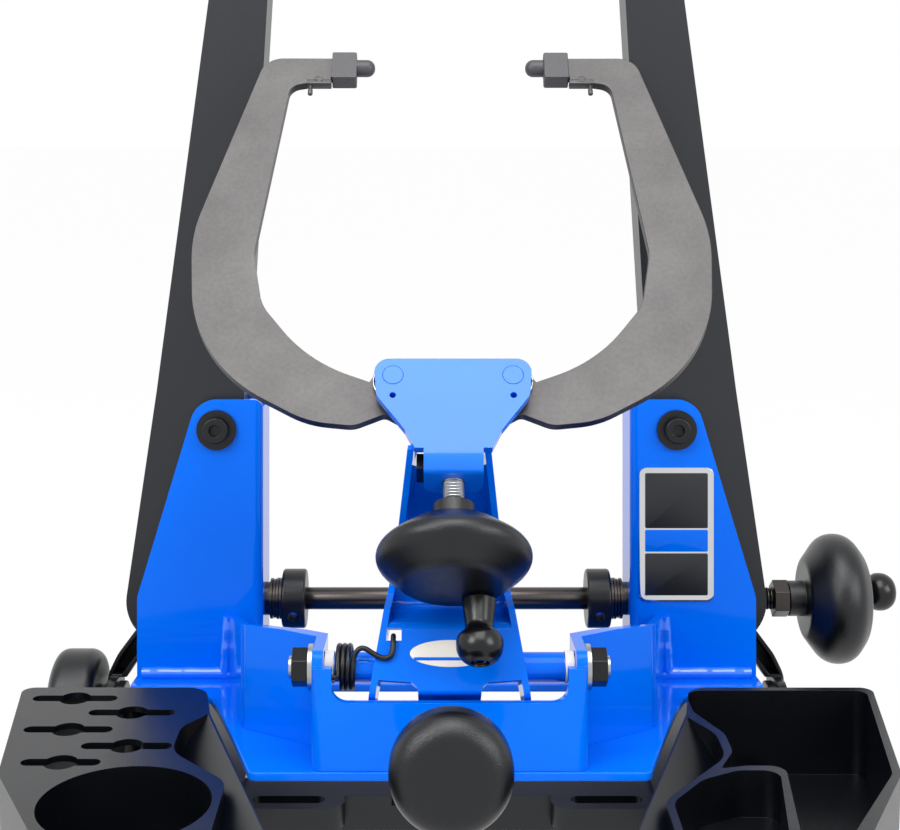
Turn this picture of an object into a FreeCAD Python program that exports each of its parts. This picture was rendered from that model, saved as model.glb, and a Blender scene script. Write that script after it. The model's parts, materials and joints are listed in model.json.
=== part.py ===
import FreeCAD
import Part
import math
import os
import re
import Sketcher
from FreeCAD import Placement, Rotation, Vector

# Bicycle wheel truing stand, millimetres.
# Row frame: X right, Y away from the user, Z up, origin between the two bench slots on the bench.
# Frame pieces are drawn in their own axes (front of the towers at y 0, floor plate top at z 0) and
# then leaned back on the tilt axis of the base.

SIZES = {
    # lean of the frame on its base
    "frame_lean": 6, "axis_y": 101.6, "axis_z": 32, "axis_behind": 36, "axis_below": 23,
    # sheet thicknesses
    "thick_plate": 5, "thin_sheet": 3, "floor_sheet": 4, "bend": 5,
    # towers
    "tower_inside": 98.8, "tower_outside": 166, "tower_depth": 42, "tower_top": 149,
    "tower_shoulder": 43, "tower_top_outside": 134, "tower_corner": 14,
    # uprights
    "upright_front": 7.5, "upright_back": 34.5, "upright_top": 435, "upright_foot": 15,
    "upright_in_top": 92.7, "upright_in_foot": 117.3, "upright_out_top": 119.4,
    "upright_out_mid": 156.8, "upright_out_foot": 177, "upright_mid": 153, "upright_foot_round": 24,
    "pivot_x": 123.3, "pivot_z": 132.8, "pivot_radius": 4,
    # axle seats at the top of the uprights
    "axle_x": 106, "axle_z": 408, "axle_radius": 5,
    # width rod
    "rod_y": 21, "rod_z": 38, "rod_radius": 6, "rod_left": -166, "rod_right": 214,
    "collar_radius": 16, "collar_start": 76.6, "collar_end": 89.5,
    "ring_radius": 11.2, "ring_end": 96.4, "nut_x": 145, "nut_radius": 9,
    "wheel_radius": 35, "wheel_start": 196, "wheel_end": 230, "wheel_hub_radius": 9.6,
    "wheel_hub_start": 187.2, "grip_radius": 10.5,
    # floor plate
    "floor_front": -157, "floor_front_half": 88, "floor_wide": 167, "floor_back": 50,
    # cradle
    "cradle_front": -156, "cradle_front_top": 30, "cradle_top": 51, "ear_back": -117,
    "web_foot_top": 33.5,
    # lower arm
    "arm_y": -137, "arm_z": 41, "arm_lean": 27, "arm_pin_radius": 5, "arm_tube_radius": 6.6,
    "arm_tube_half": 51.5, "ear_inside": "=arm_tube_half + 4.5", "ear_outside": "=ear_inside + 5",
    "arm_foot_half": 36, "arm_top_half": 17.6, "arm_web_front": 9, "arm_skirt_front": -10,
    "tongue_half": 14,
    # head
    "head_x": 1.9, "head_y": -136.7, "head_z": 139.6, "head_lean": 33, "head_plate": 5,
    "head_top": 46, "head_half": 37, "head_foot_half": 17.6, "band_half": 13.5,
    "rivet_half": 27.8, "rivet_z": 37.3, "rivet_radius": 3, "rivet_head": 4.8,
    "finger_front": 9, "finger_back": 14, "spring_ring": 10.4,
    # caliper screw, measured out along its own axis from the tongue
    "screw_dip": 54, "tongue_y": -128.6, "tongue_z": 124, "caliper_out": 36,
    "screw_radius": 5, "knob_radius": 35, "knob_half": 17,
    # radial screw
    "radial_z": 15, "radial_y": -204, "radial_radius": 25.75, "radial_half": 12.5,
    "pad_radius": 8, "pad_front": -150.6, "pad_back": -142.4,
    # trays and base
    "tray_top": 71, "tray_floor": 24, "tray_wall": 3, "cup_x": 138.5, "cup_y": -109,
    "cup_radius": 37, "base_low": 4, "base_high": 24, "lug_top": 22,
    "slot_inside": 61, "slot_outside": 96.5, "slot_half": 4,
    "bracket_inside": 178.5, "bracket_outside": 183.5, "tilt_knob_radius": 29,
    # arms that hang the frame on the tilt brackets
    "arm_plate_inside": "=bracket_outside + 0.5", "arm_plate_outside": "=arm_plate_inside + 5",
    "tilt_arm_back": 60,
}

DOC = FreeCAD.newDocument("truing_stand")
SHEET = DOC.addObject("Spreadsheet::Sheet", "sizes")
for row, (alias, amount) in enumerate(SIZES.items(), 1):
    SHEET.set("A%d" % row, str(amount))
    SHEET.setAlias("A%d" % row, alias)
DOC.recompute()

PIECES = []


def bound(text):
    """Write a size formula with the sheet's name before each alias."""
    swap = lambda m: "sizes." + m.group(0) if m.group(0) in SIZES else m.group(0)
    return re.sub(r"[a-z_]+", swap, str(text))


def val(text):
    return float(SHEET.evalExpression(bound(text)))


def drive(obj, prop, text):
    obj.setExpression(prop, bound(text))


def frame_lean():
    turn = Rotation(Vector(1, 0, 0), -val("frame_lean"))
    pin = Vector(0, val("axis_behind"), -val("axis_below"))
    return Placement(Vector(0, val("axis_y"), val("axis_z")) - turn.multVec(pin), turn)


LEAN = frame_lean()
ALONG_X = Rotation(Vector(0, 1, 0), 90)
ALONG_Y = Rotation(Vector(1, 0, 0), -90)
FLAT = Rotation()


def arm_frame():
    turn = Rotation(Vector(1, 0, 0), -val("arm_lean"))
    return LEAN.multiply(Placement(Vector(0, val("arm_y"), val("arm_z")), turn))


def head_frame():
    turn = Rotation(Vector(1, 0, 0), -val("head_lean"))
    return LEAN.multiply(Placement(Vector(val("head_x"), val("head_y"), val("head_z")), turn))


def screw_frame():
    """Local Z runs out of the stand along the caliper screw, local Y up and towards the user."""
    turn = Rotation(Vector(1, 0, 0), 90 + val("screw_dip"))
    at = Vector(val("head_x"), val("tongue_y"), val("tongue_z"))
    return LEAN.multiply(Placement(at, turn))


def piece(name, obj, home=None):
    obj.Label = name
    if home is not None:
        obj.Placement = home
    PIECES.append((name, obj))
    return obj


def corner_arc(before, at, after, radius):
    to_before = (before - at).normalize()
    to_after = (after - at).normalize()
    half = to_before.getAngle(to_after) / 2
    reach = radius / math.tan(half)
    middle = (to_before + to_after).normalize()
    centre = at + middle * (radius / math.sin(half))
    return at + to_before * reach, centre - middle * radius, at + to_after * reach


def outline(sketch, corners):
    """Closed outline through corners (x, z[, radius]); every size stays tied to the sheet."""
    count = len(corners)
    at = [Vector(val(c[0]), val(c[1]), 0) for c in corners]
    arcs = [None] * count
    for i, corner in enumerate(corners):
        if len(corner) > 2:
            arcs[i] = corner_arc(at[i - 1], at[i], at[(i + 1) % count], val(corner[2]))
    marks = [sketch.addGeometry(Part.Point(p), True) for p in at]
    lines = []
    for i in range(count):
        j = (i + 1) % count
        start = arcs[i][2] if arcs[i] else at[i]
        end = arcs[j][0] if arcs[j] else at[j]
        lines.append(sketch.addGeometry(Part.LineSegment(start, end), False))
    rules = []
    for i, corner in enumerate(corners):
        rules.append((("DistanceX", -1, 1, marks[i], 1, at[i].x), corner[0]))
        rules.append((("DistanceY", -1, 1, marks[i], 1, at[i].y), corner[1]))
        before, after = lines[i - 1], lines[i]
        if arcs[i] is None:
            rules.append((("Coincident", before, 2, marks[i], 1), None))
            rules.append((("Coincident", after, 1, marks[i], 1), None))
            continue
        left_turn = (at[i] - at[i - 1]).cross(at[(i + 1) % count] - at[i]).z > 0
        arc = sketch.addGeometry(Part.Arc(*(arcs[i] if left_turn else arcs[i][::-1])), False)
        first, second = (1, 2) if left_turn else (2, 1)
        rules.append((("PointOnObject", marks[i], 1, before), None))
        rules.append((("PointOnObject", marks[i], 1, after), None))
        rules.append((("Tangent", before, 2, arc, first), None))
        rules.append((("Tangent", arc, second, after, 1), None))
        rules.append((("Radius", arc, val(corner[2])), corner[2]))
    first_rule = sketch.ConstraintCount
    sketch.addConstraint([Sketcher.Constraint(*rule) for rule, _ in rules])
    for k, (_, text) in enumerate(rules):
        if text is not None:
            sketch.setExpression("Constraints[%d]" % (first_rule + k), bound(text))


def new_sketch(body, name, plane, lift="0"):
    sketch = body.newObject("Sketcher::SketchObject", name + "_outline")
    origin = [f for f in body.Origin.OriginFeatures if f.Role == plane + "_Plane"][0]
    sketch.AttachmentSupport = (origin, "")
    sketch.MapMode = "FlatFace"
    drive(sketch, ".AttachmentOffset.Base.z", lift)
    return sketch


def slab(name, plane, corners, start, end):
    """Flat sheet of a given outline between two heights of the axis across its plane."""
    body = DOC.addObject("PartDesign::Body", name)
    lift = "-(%s)" % start if plane == "XZ" else start
    sketch = new_sketch(body, name, plane, lift)
    outline(sketch, corners)
    pad = body.newObject("PartDesign::Pad", name + "_pad")
    pad.Profile = sketch
    pad.Reversed = plane == "XZ"
    drive(pad, "Length", "(%s) - (%s)" % (end, start))
    sketch.Visibility = False
    return body


def turned(name, corners):
    """Round piece about local Z from a half profile (radius, height[, fillet])."""
    body = DOC.addObject("PartDesign::Body", name)
    sketch = new_sketch(body, name, "XZ")
    outline(sketch, corners)
    turn = body.newObject("PartDesign::Revolution", name + "_turn")
    turn.Profile = sketch
    turn.ReferenceAxis = (sketch, ["V_Axis"])
    turn.Angle = 360
    return body


def pin(name, radius, start, end, x="0", y="0", turn=FLAT):
    """Cylinder from start to end of its own axis; x and y place the axis across it."""
    made = DOC.addObject("Part::Cylinder", name)
    drive(made, "Radius", radius)
    drive(made, "Height", "(%s) - (%s)" % (end, start))
    made.Placement = Placement(Vector(), turn)
    base = {"x": x, "y": y, "z": start}
    if turn is ALONG_X:
        base = {"x": start, "y": x, "z": y}
    if turn is ALONG_Y:
        base = {"x": x, "y": start, "z": y}
    for axis, text in base.items():
        drive(made, ".Placement.Base." + axis, text)
    return made


def block(name, x, y, z):
    """Box between pairs of coordinates."""
    made = DOC.addObject("Part::Box", name)
    for axis, prop, (low, high) in (("x", "Length", x), ("y", "Width", y), ("z", "Height", z)):
        drive(made, ".Placement.Base." + axis, low)
        drive(made, prop, "(%s) - (%s)" % (high, low))
    return made


def join(name, *shapes):
    made = DOC.addObject("Part::MultiFuse", name)
    made.Shapes = list(shapes)
    made.Refine = True
    return made


def remove(name, base, *tools):
    made = DOC.addObject("Part::Cut", name)
    made.Base = base
    made.Tool = tools[0] if len(tools) == 1 else join(name + "_tools", *tools)
    made.Refine = True
    return made


def common(name, base, tool):
    made = DOC.addObject("Part::Common", name)
    made.Base = base
    made.Tool = tool
    return made


def mirrored(name, source):
    made = DOC.addObject("Part::Mirroring", name)
    made.Source = source
    made.Base = Vector(0, 0, 0)
    made.Normal = Vector(1, 0, 0)
    return made


def both_sides(name, source):
    return join(name, source, mirrored(name + "_other", source))


def bend_waste(name, x, y, radius, out_x, out_y, low, high):
    """What falls away where an upright bend is rounded; x, y is the sharp corner, out the way it points."""
    back_x = "%s - (%d) * (%s + 0.5)" % (x, out_x, radius)
    back_y = "%s - (%d) * (%s + 0.5)" % (y, out_y, radius)
    far_x = "%s + (%d)" % (x, out_x)
    far_y = "%s + (%d)" % (y, out_y)
    return slab(name, "XY", [(x, back_y), (x, y, radius), (back_x, y), (back_x, far_y), (far_x, far_y),
                             (far_x, back_y)], low, high)


# ---------------------------------------------------------------- base

def base_frame():
    rail = block("rail", ("103", "bracket_inside - 0.1"), ("-146", "125"), ("base_low", "base_high"))
    rails = both_sides("rails", rail)
    bar = block("middle_bar", ("-110", "110"), ("4", "25"), ("base_low", "lug_top"))
    rear = block("rear_bar", ("-110", "110"), ("86", "120"), ("base_low", "lug_top"))
    lug = slab("lug", "XY", [("51", "-10", "9"), ("51", "10", "9"), ("105", "10"), ("105", "-10")],
               "lug_top - 12", "lug_top")
    web = block("lug_web", ("100", "110"), ("-20", "5"), ("base_low", "lug_top"))
    lugs = both_sides("lugs", join("lug_side", lug, web))
    slot = join("slot", pin("slot_in", "slot_half", "0", "40", "slot_inside + slot_half"),
                pin("slot_out", "slot_half", "0", "40", "slot_outside - slot_half"),
                block("slot_mid", ("slot_inside + slot_half", "slot_outside - slot_half"),
                      ("-slot_half", "slot_half"), ("0", "40")))
    recess = block("recess", ("-28", "28"), ("-1", "12"), ("lug_top - 5", "lug_top + 1"))
    screws = [pin("screw_bore", "2.4", "-1", "40", x, y) for x, y in TRAY_SCREWS]
    sinks = [pin("screw_sink", "5", "-1", "9", x, y) for x, y in TRAY_SCREWS]
    holes = both_sides("screw_holes", join("screw_side", *(screws + sinks)))
    body = join("base_cast", rails, bar, rear, lugs)
    return piece("base_frame", remove("base_frame", body, both_sides("slots", slot), recess, holes))


TRAY_SCREWS = [("140", "-30"), ("155", "5"), ("168", "-90")]


def tray_outline():
    return [("-215", "22", "6"), ("-122", "22", "12"), ("-115.5", "-12", "16"), ("-77", "-132", "10"),
            ("-77", "-166", "12"), ("-157", "-166", "26"), ("-200", "-80", "20")]


def tray_bite(name, edge):
    """Scoop between the curved rim of a left hand tray and its straight inner side."""
    corners = edge + [("-60", "-170"), ("-60", "-2")]
    area = slab(name + "_area", "XY", corners, "tray_top - 30", "tray_top + 1")
    slope = slab(name + "_slope", "XZ", [
        ("0", "tray_top"), ("-19", "tray_top - 14"), ("-60", "tray_top - 40"), ("-60", "tray_top + 2"),
        ("20", "tray_top + 2"), ("20", "tray_top")], "-190", "20")
    slope.Placement = Placement(Vector(-116, -14, 0), Rotation(Vector(0, 0, 1), 18))
    scoop = DOC.addObject("Part::Common", name)
    scoop.Base = area
    scoop.Tool = slope
    return scoop


WRENCH_SLOTS = [("-185.3", "7.6"), ("-153.7", "-10.5"), ("-180", "-31"), ("-148.7", "-50"),
                ("-175", "-68")]


def wrench_slot(index, x, y, half):
    """Round hole with a round ended slit on both sides of it."""
    hole = pin("wrench_hole_%d" % index, "7.8", "60", "80", x, y)
    ends = [pin("wrench_end_%d" % index, "3.7", "60", "80", "%s %s (%s - 3.7)" % (x, sign, half), y)
            for sign in "+-"]
    slit = block("wrench_slit_%d" % index, ("%s - %s + 3.7" % (x, half), "%s + %s - 3.7" % (x, half)),
                 (y + " - 3.7", y + " + 3.7"), ("60", "80"))
    return join("wrench_slot_%d" % index, hole, slit, *ends)


def left_tray():
    outer = slab("left_outer", "XY", tray_outline(), "tray_floor", "tray_top")
    hollow = slab("left_hollow", "XY", [
        ("-211.5", "19", "2"), ("-134", "19", "2"), ("-126", "-2", "8"), ("-132.5", "-28", "10"),
        ("-132.5", "-66", "6"), ("-198", "-66", "10")], "tray_floor - 1", "tray_top - tray_wall")
    bosses = [pin("boss", "6", "tray_floor", "tray_top - 2", "-" + x, y) for x, y in TRAY_SCREWS[:2]]
    shell = join("left_shell", remove("left_open", outer, hollow), *bosses)
    cup = pin("cup", "cup_radius", "tray_floor + 4", "tray_top + 1", "-cup_x", "cup_y")
    slots = [wrench_slot(i, x, y, "21" if i < 4 else "18") for i, (x, y) in enumerate(WRENCH_SLOTS)]
    bores = [pin("left_bore", "2", "0", "42", "-" + x, y) for x, y in TRAY_SCREWS]
    bite = tray_bite("left_bite", [("-109", "-2"), ("-127", "-28", "18"), ("-127", "-56", "22"),
                                   ("-98", "-88", "18"), ("-98", "-170")])
    body = remove("left_tray", shell, cup, bite, *(slots + bores))
    return piece("left_tray", body)


def right_tray():
    outer = mirrored("right_outer", slab("right_outline", "XY", tray_outline(), "tray_floor", "tray_top"))
    bite = mirrored("right_bite", tray_bite("right_bite_left", [
        ("-108", "-2"), ("-125.6", "-36", "24"), ("-125.6", "-62", "24"), ("-91.3", "-107", "20"),
        ("-91.3", "-170")]))
    rear = slab("rear_room", "XY", [
        ("119", "18", "9"), ("119.5", "-10", "8"), ("129.8", "-36", "20"), ("129.8", "-56", "16"),
        ("121", "-74.5", "1"), ("133", "-71.5", "6"), ("150.5", "-71.5", "7"), ("139.5", "-160", "2"),
        ("151", "-160", "8"), ("196", "-80", "18"), ("211", "18", "6")],
        "tray_floor + tray_wall", "tray_top + 1")
    front = slab("front_room", "XY", [
        ("94.8", "-108", "14"), ("111", "-86", "16"), ("128", "-76.3", "14"), ("147", "-76.3", "7"),
        ("134", "-160", "6"), ("94.8", "-160", "12")], "tray_top - 22", "tray_top + 1")
    shell = remove("right_open", outer, bite, rear, front)
    bosses = [pin("right_boss", "5", "tray_floor", "tray_floor + 9", x, y) for x, y in TRAY_SCREWS]
    bores = [pin("right_bore", "2", "0", "tray_floor + 7", x, y) for x, y in TRAY_SCREWS]
    return piece("right_tray", remove("right_tray", join("right_shell", shell, *bosses), *bores))


def base_small():
    places = (("118", "-130"), ("166", "-130"), ("120", "108"), ("166", "60"))
    foot = join("foot_side", *[pin("foot", "11", "0", "base_low", x, y) for x, y in places])
    piece("base_feet", both_sides("base_feet", foot))
    made = []
    for x, y in TRAY_SCREWS:
        made.append(pin("tray_screw_head", "4.2", "5.4", "9", x, y))
        made.append(pin("tray_screw_shank", "2", "9", "29", x, y))
    piece("tray_screws", both_sides("tray_screws", join("tray_screw_side", *made)))


def tilt_bracket():
    plate = slab("bracket_plate", "YZ", [
        ("axis_y - 18", "base_low + 3"), ("axis_y - 10.5", "axis_z + 10.5", "9"),
        ("axis_y + 10.5", "axis_z + 10.5", "9"), ("axis_y + 18", "base_low + 3")],
        "bracket_inside", "bracket_outside")
    hole = pin("bracket_hole", "4.2", "170", "195", "axis_y", "axis_z", ALONG_X)
    right = remove("tilt_bracket_right", plate, hole)
    piece("tilt_bracket_right", right)
    piece("tilt_bracket_left", mirrored("tilt_bracket_left", right))


def tilt_bolt_and_knob():
    face = val("arm_plate_outside")
    bolt = turned("tilt_bolt", [("0", "-14"), ("4", "-14"), ("4", "0.1"), ("7", "0.1"), ("7", "6", "1.5"),
                                ("0", "6")])
    piece("tilt_pivot_bolt", bolt, Placement(Vector(face, val("axis_y"), val("axis_z")), ALONG_X))
    out = Placement(Vector(-face, val("axis_y"), val("axis_z")), Rotation(Vector(0, 1, 0), -90))
    stud = turned("tilt_stud", [("0", "-14"), ("4", "-14"), ("4", "14"), ("0", "14")])
    piece("tilt_stud", stud, out)
    knob = turned("tilt_knob", [
        ("4", "0.1"), ("9.5", "0.1"), ("9.5", "3"), ("tilt_knob_radius - 4", "3"),
        ("tilt_knob_radius", "6", "1.5"), ("tilt_knob_radius", "27", "5"),
        ("tilt_knob_radius - 8", "31", "4"), ("0", "31"), ("0", "14"), ("4", "14")])
    piece("tilt_knob", knob, out)


# ---------------------------------------------------------------- frame

def floor_plate():
    half = [("floor_front_half", "floor_front", "4"), ("102", "-103"), ("115", "-57"), ("121", "-39"),
            ("132", "-18", "8"), ("floor_wide", "-18", "5"), ("floor_wide", "floor_back", "6")]
    other = [("-(%s)" % c[0],) + c[1:] for c in reversed(half)]
    plate = slab("floor_sheet_plate", "XY", half + other, "-floor_sheet", "0")
    window = slab("floor_window", "XY", [
        ("-50", "-138", "6"), ("50", "-138", "6"), ("52", "-118", "4"), ("72", "-95", "8"),
        ("72", "-14", "10"), ("-72", "-14", "10"), ("-72", "-95", "8"), ("-52", "-118", "4")], "-10", "5")
    return piece("floor_plate", remove("floor_plate", plate, window), LEAN)


def tilt_arms():
    """Curved channels from the backs of the towers to the tilt axis, open towards the user."""
    strip = slab("tilt_strip", "XZ", [
        ("140", "26"), ("150", "20"), ("164", "10", "20"), ("174.6", "-3", "30"), ("179.6", "-11"),
        ("arm_plate_inside", "-11"), ("arm_plate_inside", "-14"), ("arm_plate_outside + 1.5", "-14"),
        ("arm_plate_outside + 1", "-9", "20"), ("184.7", "2", "30"), ("175", "15", "30"), ("160", "33"),
        ("140", "52")], "tower_depth + 0.05", "tilt_arm_back")
    room = slab("tilt_room", "XZ", [
        ("130", "34"), ("151", "22.5"), ("165.8", "12", "20"), ("176.6", "-1.5", "30"), ("182.4", "-9.4"),
        ("arm_plate_outside - 1.3", "-9.4"), ("182.6", "0.8", "30"), ("173", "13.5", "30"), ("158", "31.2"),
        ("130", "57")], "tower_depth - 1", "tilt_arm_back - 2.5")
    plate = slab("tilt_plate", "YZ", [
        ("axis_behind - 12", "-axis_below - 12", "10"), ("axis_behind - 12", "-axis_below + 12", "10"),
        ("tilt_arm_back", "-axis_below + 12"), ("tilt_arm_back", "-axis_below - 2", "10"),
        ("axis_behind + 14", "-axis_below - 12", "8")], "arm_plate_inside", "arm_plate_outside")
    hole = pin("tilt_arm_hole", "4.2", "170", "200", "axis_behind", "-axis_below", ALONG_X)
    channel = remove("tilt_channel", strip, room)
    right = remove("right_tilt_arm", join("tilt_arm_body", channel, plate), hole)
    piece("right_tilt_arm", right, LEAN)
    piece("left_tilt_arm", mirrored("left_tilt_arm", right))


def tower_face(name, start, end):
    return slab(name, "XZ", [
        ("tower_inside", "0"), ("tower_inside", "tower_top", "5"),
        ("tower_top_outside", "tower_top", "tower_corner"), ("tower_outside", "tower_shoulder", "10"),
        ("tower_outside", "0")], start, end)


def towers():
    front = tower_face("tower_front", "0", "thick_plate")
    rear = tower_face("tower_rear", "tower_depth - thick_plate", "tower_depth")
    inner = block("tower_inner", ("tower_inside", "tower_inside + thick_plate"), ("2", "tower_depth - 2"),
                  ("0", "tower_top - 4"))
    bolt = pin("tower_bolt_hole", "pivot_radius + 0.2", "-5", "60", "pivot_x", "pivot_z", ALONG_Y)
    rod = pin("tower_rod_hole", "rod_radius + 0.3", "90", "110", "rod_y", "rod_z", ALONG_X)
    bends = [bend_waste("tower_bend_front", "tower_inside", "0", "bend", -1, -1, "-1", "tower_top + 1"),
             bend_waste("tower_bend_rear", "tower_inside", "tower_depth", "bend", -1, 1, "-1",
                        "tower_top + 1")]
    right = remove("right_tower", join("tower_body", front, rear, inner), bolt, rod, *bends)
    piece("right_tower", right, LEAN)
    piece("left_tower", mirrored("left_tower", right))


def cradle():
    half = [("ear_outside", "0"), ("ear_outside", "cradle_top - 6"),
            ("ear_inside - 4", "cradle_top - 6"), ("ear_inside - 4", "cradle_front_top", "7")]
    other = [("-(%s)" % c[0],) + c[1:] for c in reversed(half)]
    front = slab("cradle_wall", "XZ", half + other, "cradle_front", "cradle_front + thick_plate")
    ear = slab("cradle_ear", "YZ", [
        ("cradle_front + 1", "0"), ("cradle_front + 1", "cradle_front_top - 2", "3"),
        ("-151", "cradle_top", "5"), ("ear_back", "cradle_top"), ("ear_back", "0")],
        "ear_inside", "ear_outside")
    web = slab("cradle_web", "XY", [
        ("ear_inside", "-120"), ("ear_outside", "-121", "3"), ("99.5", "-91", "4"), ("96", "-86", "3"),
        ("ear_inside", "-115")], "0", "cradle_top")
    side = slab("cradle_side", "XY", [("94.5", "-89"), ("99.5", "-90"), ("117", "-0.05"), ("112", "-0.05")],
                "0", "cradle_top")
    above = slab("cradle_slope", "YZ", [
        ("-107", "cradle_top"), ("-91", "cradle_top - 1.6"), ("1", "web_foot_top"),
        ("1", "cradle_top + 5"), ("-107", "cradle_top + 5")], "ear_outside + 0.01", "130")
    hole = pin("ear_pin_hole", "arm_pin_radius + 0.15", "50", "70", "arm_y", "arm_z", ALONG_X)
    half_body = remove("cradle_half_body", join("cradle_half_all", ear, web, side), hole, above)
    bend = both_sides("cradle_bends", bend_waste("cradle_bend", "ear_outside", "cradle_front", "bend", 1, -1,
                                                 "-1", "cradle_top + 1"))
    bore = pin("cradle_screw_hole", "screw_radius + 0.2", "-170", "-140", "0", "radial_z", ALONG_Y)
    body = remove("cradle", join("cradle_all", front, both_sides("cradle_sides", half_body)), bore, bend)
    return piece("cradle", body, LEAN)


def pivot_hardware():
    def at(y):
        return Placement(Vector(val("pivot_x"), y, val("pivot_z")), ALONG_Y)
    bolt = turned("pivot_bolt", [
        ("0", "0"), ("3.2", "0"), ("3.2", "-3.6"), ("6.9", "-3.6", "0.8"), ("6.9", "2"),
        ("pivot_radius", "2"), ("pivot_radius", "52"), ("0", "52")])
    bolt.Placement = at(-4.1)
    bolts = both_sides("upright_pivot_bolts", bolt)
    piece("upright_pivot_bolts", bolts, LEAN)
    washer = turned("pivot_washer", [("4.3", "0"), ("10.7", "0"), ("10.7", "2", "0.6"), ("4.3", "2")])
    washer.Placement = at(-2.05)
    piece("pivot_washers", both_sides("pivot_washers", washer), LEAN)
    nut = DOC.addObject("Part::Prism", "pivot_nut")
    nut.Polygon = 6
    nut.Circumradius = 7.5
    nut.Height = 5
    nut.Placement = at(val("tower_depth") + 0.1)
    bored = remove("pivot_nut_bored", nut, pin("pivot_nut_hole", "pivot_radius + 0.05", "30", "60", "pivot_x",
                                               "pivot_z", ALONG_Y))
    piece("pivot_nuts", both_sides("pivot_nuts", bored), LEAN)


def arm_pivot():
    rod = pin("pivot_rod_bar", "arm_pin_radius", "-ear_outside - 11", "ear_outside + 11", "arm_y", "arm_z",
              ALONG_X)
    flats = block("pivot_rod_flat", ("ear_outside + 10.5", "ear_outside + 12"), ("-150", "-120"),
                  ("arm_z + 6", "arm_z + 9"))
    piece("arm_pivot_rod", remove("arm_pivot_rod", rod, flats), LEAN)
    nut = DOC.addObject("Part::Prism", "arm_nut")
    nut.Polygon = 6
    nut.Circumradius = 9
    nut.Height = 7
    nut.Placement = Placement(Vector(val("ear_outside") + 2.6, val("arm_y"), val("arm_z")), ALONG_X)
    hole = pin("arm_nut_hole", "arm_pin_radius + 0.05", "ear_outside - 6", "ear_outside + 14", "arm_y", "arm_z",
               ALONG_X)
    piece("arm_pivot_nuts", both_sides("arm_pivot_nuts", remove("arm_nut_bored", nut, hole)), LEAN)
    ring = pin("arm_washer", "10.2", "ear_outside + 0.1", "ear_outside + 2.3", "arm_y", "arm_z", ALONG_X)
    washers = both_sides("arm_washer_pair", ring)
    bore = pin("arm_washer_hole", "arm_pin_radius + 0.2", "-80", "80", "arm_y", "arm_z", ALONG_X)
    piece("arm_pivot_washers", remove("arm_pivot_washers", washers, bore), LEAN)
    spacer = pin("arm_spacer", "arm_tube_radius + 0.6", "arm_tube_half + 0.3", "ear_inside - 0.2", "arm_y",
                 "arm_z", ALONG_X)
    bore = pin("arm_spacer_hole", "arm_pin_radius + 0.2", "-80", "80", "arm_y", "arm_z", ALONG_X)
    piece("arm_spacers", remove("arm_spacers", both_sides("arm_spacer_pair", spacer), bore), LEAN)


def arm_spring():
    """Torsion spring: coils about the pivot tube, one leg on the arm web and one on the cradle ear."""
    coil = pin("spring_coil_bar", "11", "-arm_tube_half + 0.2", "-arm_tube_half + 9.9", "0", "0", ALONG_X)
    bore = pin("spring_coil_bore", "arm_tube_radius + 1.2", "-70", "-20", "0", "0", ALONG_X)
    upper = pin("spring_leg_up", "1.25", "0", "14.7", "-arm_tube_half + 8.6", "-9.7")
    hook = pin("spring_hook", "1.2", "-arm_tube_half + 7.9", "-25.2", "arm_skirt_front - 1.5", "13.4",
               ALONG_X)
    tip = pin("spring_tip", "1.1", "arm_skirt_front - 2.4", "-4", "-26.5", "13.3", ALONG_Y)
    lower = pin("spring_leg_down", "1.15", "-7.7", "0", "-arm_tube_half + 1.7", "-9.7")
    foot = pin("spring_foot", "1.2", "-ear_inside + 0.2", "-arm_tube_half + 2.4", "-9.6", "-6.9", ALONG_X)
    body = join("arm_spring", remove("spring_coil", coil, bore), upper, hook, tip, lower, foot)
    return piece("arm_spring", body, arm_frame())


def name_plate():
    body = slab("name_plate", "XZ", [("103.2", "41.2", "3"), ("143.2", "41.2", "3"), ("143.2", "112.7", "3"),
                                     ("103.2", "112.7", "3")], "-1", "-0.02")
    return piece("name_plate", body, LEAN)


# ---------------------------------------------------------------- uprights and width drive

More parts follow.
